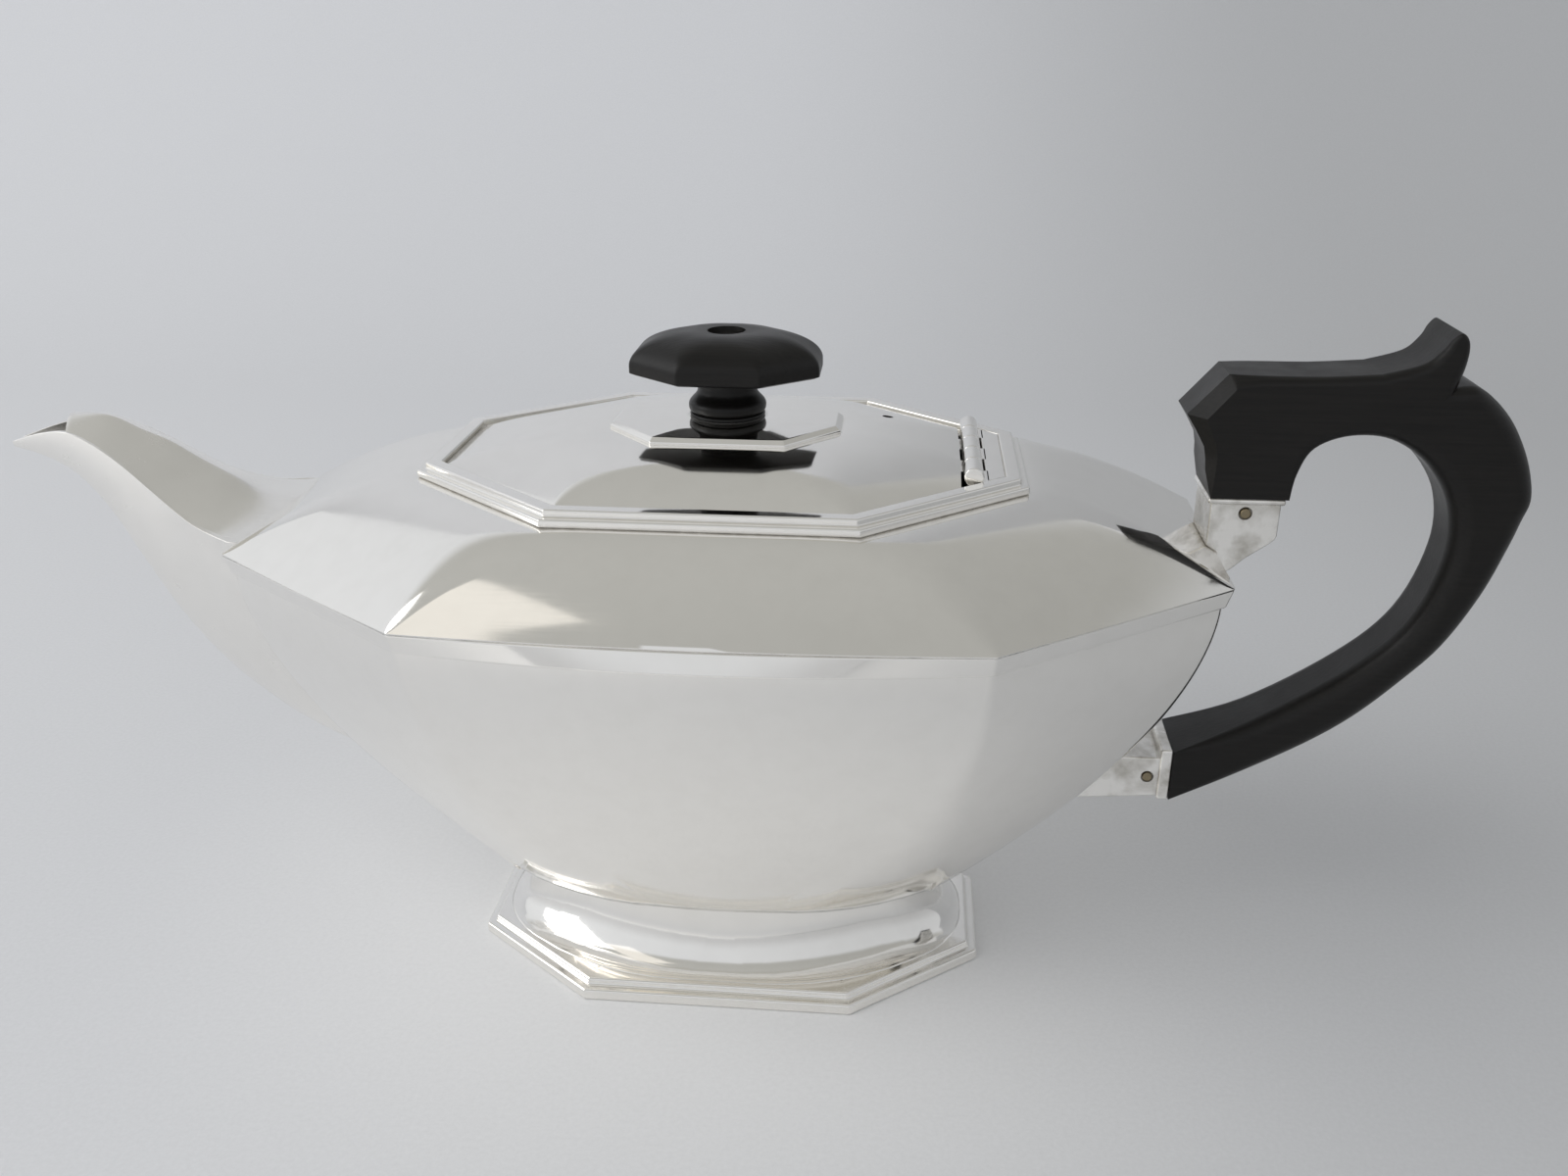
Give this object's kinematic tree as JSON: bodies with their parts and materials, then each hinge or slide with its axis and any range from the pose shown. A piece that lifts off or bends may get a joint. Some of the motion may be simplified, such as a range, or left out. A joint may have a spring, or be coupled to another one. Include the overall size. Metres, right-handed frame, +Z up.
{
  "type": "teapot",
  "caption": "Octagonal polished silver teapot on a coved foot, with a hooded spout, a hinged lid with a black knob and a black loop handle in pinned sockets.",
  "frame": {"origin": "middle of the whole pot's length and width, on the surface that the foot stands on", "axes": "+X towards the handle and away from the spout, +Y to the pot's far side, +Z up"},
  "size_m": [0.273, 0.1106, 0.1243],
  "materials": {
    "silver": "polished silver",
    "blackwood": "ebonised and waxed"
  },
  "bodies": {
    "pot": {"lower_body": "silver", "shoulder": "silver", "rim_band": "silver", "spout_trough": "silver", "spout_hood": "silver", "foot": "silver", "foot_rim": "silver", "lid_frame": "silver", "hinge_leaf_fixed": "silver", "hinge_pin": "silver", "upper_socket": "silver", "lower_socket": "silver", "upper_pin": "silver", "lower_pin": "silver", "handle": "blackwood"},
    "lid": {"lid": "silver", "finial_plate": "silver", "knob_washer": "blackwood", "knob_neck": "blackwood", "knob_cap": "blackwood", "knob_bolt": "silver", "knob_nut": "silver", "hinge_leaf_lid": "silver"}
  },
  "joints": [
    {"name": "lid_hinge", "type": "hinge", "parent": "pot", "child": "lid", "pos_m": [0.0417, 0, 0.10075], "axis": [0, 1, 0], "range_deg": [0, 100]}
  ]
}
